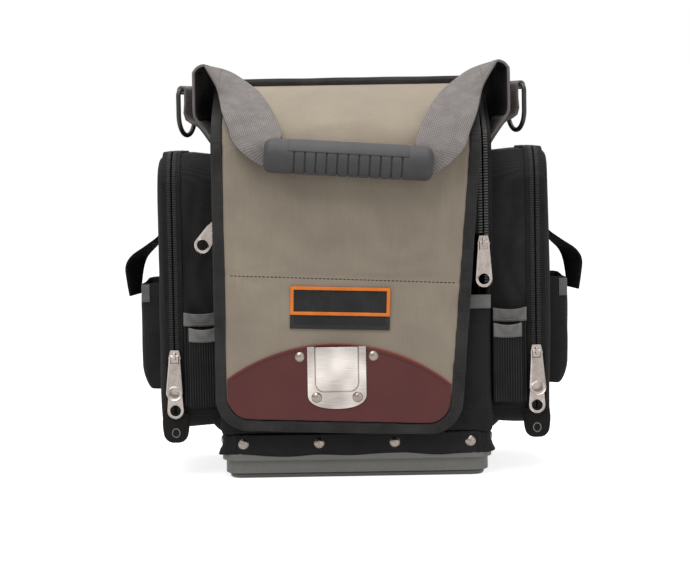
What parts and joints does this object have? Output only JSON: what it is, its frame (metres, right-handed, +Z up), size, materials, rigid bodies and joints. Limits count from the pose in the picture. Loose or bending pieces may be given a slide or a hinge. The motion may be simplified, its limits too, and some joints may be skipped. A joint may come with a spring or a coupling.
{
  "type": "zippered tool bag",
  "caption": "Upright zippered tool bag on a moulded base: hinged canvas flap with leather patch and tape clip, ribbed grip on webbing straps, zipped side pockets with sleeves and pouches.",
  "frame": {"origin": "middle of the base's underside, on the floor", "axes": "+Z up, -Y out of the front with the flap, +X to the viewer's right"},
  "size_m": [0.436, 0.2464, 0.396],
  "materials": {
    "base_plastic": "grained moulded polymer",
    "black_nylon": "black woven nylon",
    "canvas": "padded taupe canvas",
    "binding": "black grosgrain binding",
    "webbing": "grey webbing",
    "trim": "grey edge tape",
    "leather": "dark red-brown oiled leather",
    "clip_metal": "stamped satin metal",
    "rivet_nickel": "domed nickel caps",
    "zip_nickel": "cast nickel",
    "zip_coil": "black coil zip and tape",
    "ring_black": "black coated wire",
    "grip_rubber": "ribbed soft black rubber",
    "label": "woven label, bare",
    "board": "stiff floor board"
  },
  "bodies": {
    "bag": {"base_tray": "base_plastic", "base_skirt": "black_nylon", "base_rivets": "rivet_nickel", "floor_board": "board", "centre_panel": "black_nylon", "ridge_binding": "binding", "left_side_panel": "black_nylon", "right_side_panel": "black_nylon", "front_wall": "black_nylon", "front_wall_trim": "trim", "rear_wall": "black_nylon", "tool_rack": "black_nylon", "left_pocket_gusset": "black_nylon", "right_pocket_gusset": "black_nylon", "left_tall_tool_sleeve": "black_nylon", "right_tall_tool_sleeve": "black_nylon", "left_short_tool_sleeve": "black_nylon", "right_short_tool_sleeve": "black_nylon", "left_sleeve_trim": "trim", "right_sleeve_trim": "trim", "left_strap_anchor": "webbing", "right_strap_anchor": "webbing", "left_ring_loop": "webbing", "right_ring_loop": "webbing", "front_zip_body_side": "zip_coil", "left_pocket_zip_body": "zip_coil", "right_pocket_zip_body": "zip_coil"},
    "flap": {"front_flap": "canvas", "flap_binding": "binding", "leather_patch": "leather", "tape_clip": "clip_metal", "flap_rivets": "rivet_nickel", "label_patch": "label", "front_zip_flap_side": "zip_coil"},
    "handle": {"grip": "grip_rubber", "left_strap": "webbing", "right_strap": "webbing"},
    "left_ring": {"left_d_ring": "ring_black"},
    "left_cover": {"left_pocket_cover": "black_nylon", "left_cover_zip": "zip_coil", "left_pouch": "black_nylon"},
    "left_tab": {"left_pouch_strap": "webbing"},
    "right_ring": {"right_d_ring": "ring_black"},
    "right_cover": {"right_pocket_cover": "black_nylon", "right_cover_zip": "zip_coil", "right_pouch": "black_nylon"},
    "right_tab": {"right_pouch_strap": "webbing"},
    "right_front_runner": {"right_front_slider": "zip_nickel"},
    "right_front_tab": {"right_front_pull": "zip_nickel"},
    "left_front_runner": {"left_front_slider": "zip_nickel"},
    "left_front_tab": {"left_front_pull": "zip_nickel"},
    "left_pocket_upper_runner": {"left_pocket_upper_slider": "zip_nickel"},
    "left_pocket_upper_tab": {"left_pocket_upper_pull": "zip_nickel"},
    "left_pocket_lower_runner": {"left_pocket_lower_slider": "zip_nickel"},
    "left_pocket_lower_tab": {"left_pocket_lower_pull": "zip_nickel"},
    "right_pocket_upper_runner": {"right_pocket_upper_slider": "zip_nickel"},
    "right_pocket_upper_tab": {"right_pocket_upper_pull": "zip_nickel"},
    "right_pocket_lower_runner": {"right_pocket_lower_slider": "zip_nickel"},
    "right_pocket_lower_tab": {"right_pocket_lower_pull": "zip_nickel"}
  },
  "joints": [
    {"name": "flap_lift", "type": "hinge", "parent": "bag", "child": "flap", "pos_m": [0, -0.01, 0.377], "axis": [-1, 0, 0], "range_deg": [0, 80]},
    {"name": "handle_swing", "type": "hinge", "parent": "flap", "child": "handle", "pos_m": [0, -0.01, 0.377], "axis": [-1, 0, 0], "range_deg": [0, 85]},
    {"name": "left_ring_swing", "type": "hinge", "parent": "bag", "child": "left_ring", "pos_m": [-0.1595, -0.036, 0.371], "axis": [0.342, 0.9397, 0], "range_deg": [0, 110]},
    {"name": "left_cover_drop", "type": "hinge", "parent": "bag", "child": "left_cover", "pos_m": [-0.18, 0, 0.048], "axis": [0, -1, 0], "range_deg": [0, 75]},
    {"name": "left_tab_lift", "type": "hinge", "parent": "left_cover", "child": "left_tab", "pos_m": [-0.18885, 0, 0.24], "axis": [0, 1, 0], "range_deg": [0, 100]},
    {"name": "right_ring_swing", "type": "hinge", "parent": "bag", "child": "right_ring", "pos_m": [0.1595, -0.036, 0.371], "axis": [0.342, -0.9397, 0], "range_deg": [0, 110]},
    {"name": "right_cover_drop", "type": "hinge", "parent": "bag", "child": "right_cover", "pos_m": [0.18, 0, 0.048], "axis": [0, 1, 0], "range_deg": [0, 75]},
    {"name": "right_tab_lift", "type": "hinge", "parent": "right_cover", "child": "right_tab", "pos_m": [0.18885, 0, 0.24], "axis": [0, -1, 0], "range_deg": [0, 100]},
    {"name": "right_front_slide", "type": "slide", "parent": "bag", "child": "right_front_runner", "axis": [0, 0, 1], "range_m": [0, 0.08]},
    {"name": "right_front_pull_swing", "type": "hinge", "parent": "right_front_runner", "child": "right_front_tab", "pos_m": [0.1225, -0.1023, 0.2235], "axis": [-1, 0, 0], "range_deg": [0, 80]},
    {"name": "left_front_slide", "type": "slide", "parent": "bag", "child": "left_front_runner", "axis": [0, 0, 1], "range_m": [0, 0.05]},
    {"name": "left_front_pull_swing", "type": "hinge", "parent": "left_front_runner", "child": "left_front_tab", "pos_m": [-0.1225, -0.1023, 0.2535], "axis": [0, -1, 0], "range_deg": [-4, 35]},
    {"name": "left_pocket_upper_slide", "type": "slide", "parent": "bag", "child": "left_pocket_upper_runner", "axis": [0, 0, 1], "range_m": [0, 0.15]},
    {"name": "left_pocket_upper_pull_swing", "type": "hinge", "parent": "left_pocket_upper_runner", "child": "left_pocket_upper_tab", "pos_m": [-0.173, -0.0833, 0.1175], "axis": [-1, 0, 0], "range_deg": [0, 85]},
    {"name": "left_pocket_lower_slide", "type": "slide", "parent": "bag", "child": "left_pocket_lower_runner", "axis": [0, 0, 1], "range_m": [-0.028, 0]},
    {"name": "left_pocket_lower_pull_swing", "type": "hinge", "parent": "left_pocket_lower_runner", "child": "left_pocket_lower_tab", "pos_m": [-0.173, -0.0833, 0.1005], "axis": [0, 1, 0], "range_deg": [0, 35]},
    {"name": "right_pocket_upper_slide", "type": "slide", "parent": "bag", "child": "right_pocket_upper_runner", "axis": [0, 0, 1], "range_m": [0, 0.15]},
    {"name": "right_pocket_upper_pull_swing", "type": "hinge", "parent": "right_pocket_upper_runner", "child": "right_pocket_upper_tab", "pos_m": [0.173, -0.0833, 0.1175], "axis": [-1, 0, 0], "range_deg": [0, 85]},
    {"name": "right_pocket_lower_slide", "type": "slide", "parent": "bag", "child": "right_pocket_lower_runner", "axis": [0, 0, 1], "range_m": [-0.028, 0]},
    {"name": "right_pocket_lower_pull_swing", "type": "hinge", "parent": "right_pocket_lower_runner", "child": "right_pocket_lower_tab", "pos_m": [0.173, -0.0833, 0.1005], "axis": [0, -1, 0], "range_deg": [0, 35]}
  ]
}
